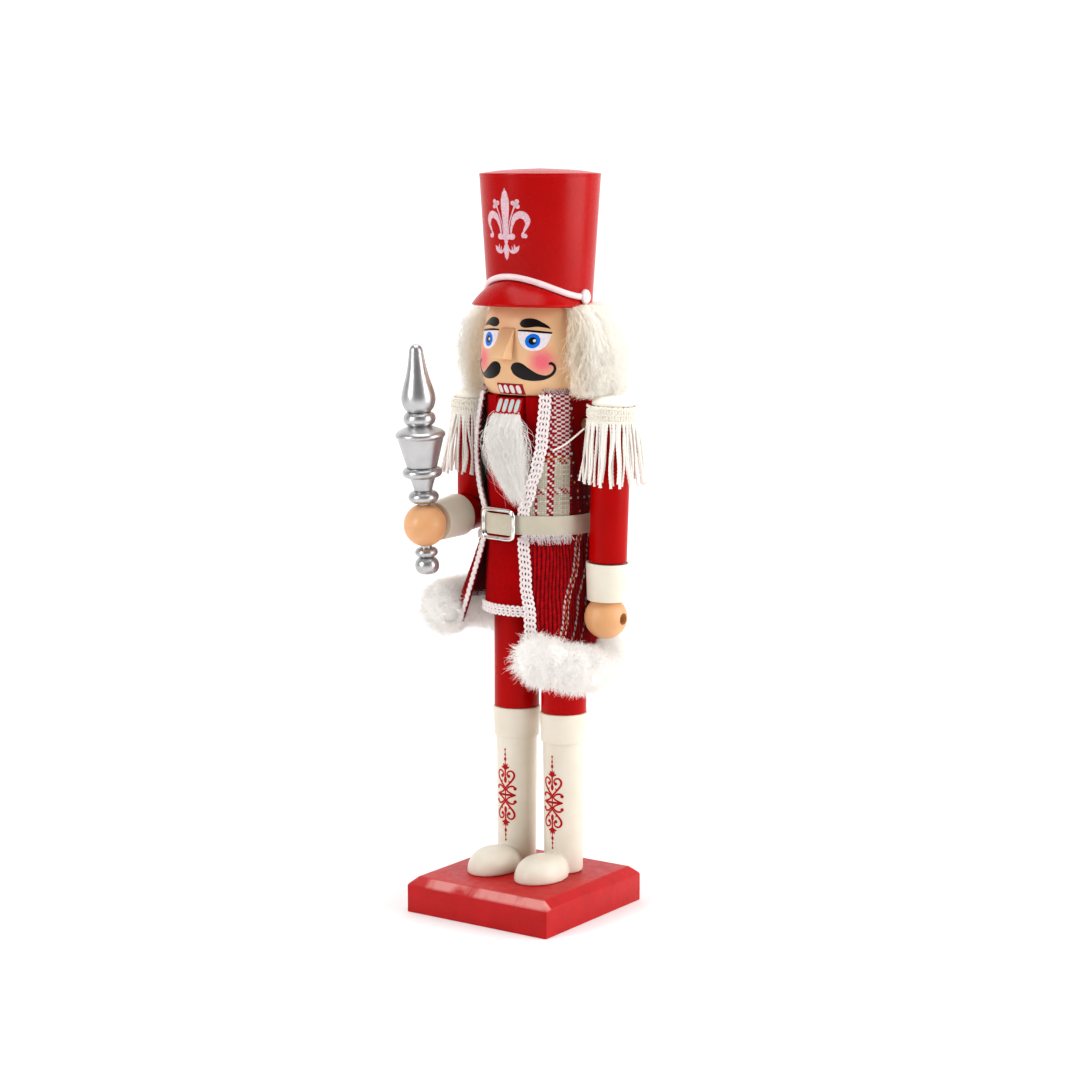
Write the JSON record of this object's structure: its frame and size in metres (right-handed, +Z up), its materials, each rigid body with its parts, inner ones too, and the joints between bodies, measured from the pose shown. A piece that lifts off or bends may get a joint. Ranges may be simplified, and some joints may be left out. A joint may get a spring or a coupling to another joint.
{
  "type": "nutcracker figure",
  "caption": "Standing toy-soldier nutcracker on a square base, with lever jaw, swinging arms, turning sceptre, tall hat, fur hair and a fur-trimmed cloth coat.",
  "frame": {"origin": "centre of the base's underside", "axes": "+Z up the figure; the figure faces -Y; its own left hand is at +X"},
  "size_m": [0.1226, 0.1126, 0.38],
  "materials": {
    "red_paint": "deep red satin paint on turned wood",
    "red_plastic": "bright red moulded plastic, satin gloss",
    "cream_plastic": "cream-white moulded plastic, satin gloss",
    "flesh_paint": "tan satin paint with the face painted on it",
    "flesh_plastic": "tan moulded plastic with a seam line",
    "silver_paint": "silver metallic paint on moulded plastic",
    "pale_pink": "pale pink-white moulded cord and buttons",
    "bare_wood": "bare dowel",
    "steel": "plain steel",
    "chrome": "polished buckle frame",
    "red_felt": "deep red felt with a short nap",
    "woven_check": "loose basket-weave check in red, white and linen, with gold flecks",
    "chenille": "ribbed red chenille",
    "gimp_braid": "scalloped white loop braid",
    "fringe": "off-white twisted cotton",
    "fur": "long white faux fur",
    "belt_vinyl": "cream-grey vinyl strip"
  },
  "bodies": {
    "figure": {"base_screw_left": "steel", "base_screw_right": "steel", "boot_left": "cream_plastic", "boot_cuff_left": "cream_plastic", "shoe_left": "cream_plastic", "trouser_leg_left": "red_paint", "leg_dowel_left": "bare_wood", "boot_right": "cream_plastic", "boot_cuff_right": "cream_plastic", "shoe_right": "cream_plastic", "trouser_leg_right": "red_paint", "leg_dowel_right": "bare_wood", "torso": "red_paint", "neck_dowel_left": "bare_wood", "neck_dowel_right": "bare_wood", "jaw_pin": "steel", "head": "flesh_paint", "nose": "flesh_paint", "hair": "fur", "hat_crown": "red_plastic", "hat_visor": "red_plastic", "hat_cord": "pale_pink", "hat_button_left": "pale_pink", "hat_button_right": "pale_pink", "shoulder_dowel_left": "bare_wood", "shoulder_dowel_right": "bare_wood", "tunic": "red_felt", "tunic_hem_braid": "gimp_braid", "coat_bodice": "woven_check", "coat_skirt": "chenille", "coat_fur_trim": "fur", "bodice_braid_left": "gimp_braid", "skirt_braid_left": "gimp_braid", "bodice_braid_right": "gimp_braid", "skirt_braid_right": "gimp_braid", "belt": "belt_vinyl", "belt_buckle": "chrome", "base": "red_paint"},
    "jaw": {"jaw_lever": "red_paint", "beard": "fur"},
    "left_arm": {"arm_left": "red_paint", "cuff_left": "cream_plastic", "hand_left": "flesh_plastic", "wrist_dowel_left": "bare_wood", "epaulette_pad_left": "fringe", "epaulette_band_left": "fringe", "epaulette_fringe_left": "fringe"},
    "right_arm": {"upper_arm_right": "red_paint", "forearm_right": "red_paint", "cuff_right": "cream_plastic", "hand_right": "flesh_plastic", "wrist_dowel_right": "bare_wood", "epaulette_pad_right": "fringe", "epaulette_band_right": "fringe", "epaulette_fringe_right": "fringe"},
    "sceptre": {"sceptre_finial": "silver_paint", "sceptre_rod": "steel", "sceptre_pommel": "silver_paint"}
  },
  "joints": [
    {"name": "jaw_hinge", "type": "hinge", "parent": "figure", "child": "jaw", "pos_m": [0, 0.0172, 0.247], "axis": [1, 0, 0], "range_deg": [0, 15], "deforming": ["beard"]},
    {"name": "left_shoulder", "type": "hinge", "parent": "figure", "child": "left_arm", "pos_m": [0.0439, 0.0142, 0.252], "axis": [-1, 0, 0], "range_deg": [0, 60]},
    {"name": "right_shoulder", "type": "hinge", "parent": "figure", "child": "right_arm", "pos_m": [-0.0406, 0.0142, 0.252], "axis": [-1, 0, 0], "range_deg": [0, 25]},
    {"name": "sceptre_spin", "type": "hinge", "parent": "right_arm", "child": "sceptre", "pos_m": [-0.0406, -0.03007, 0.20037], "axis": [0, -0.075, 0.9972], "continuous": true}
  ]
}
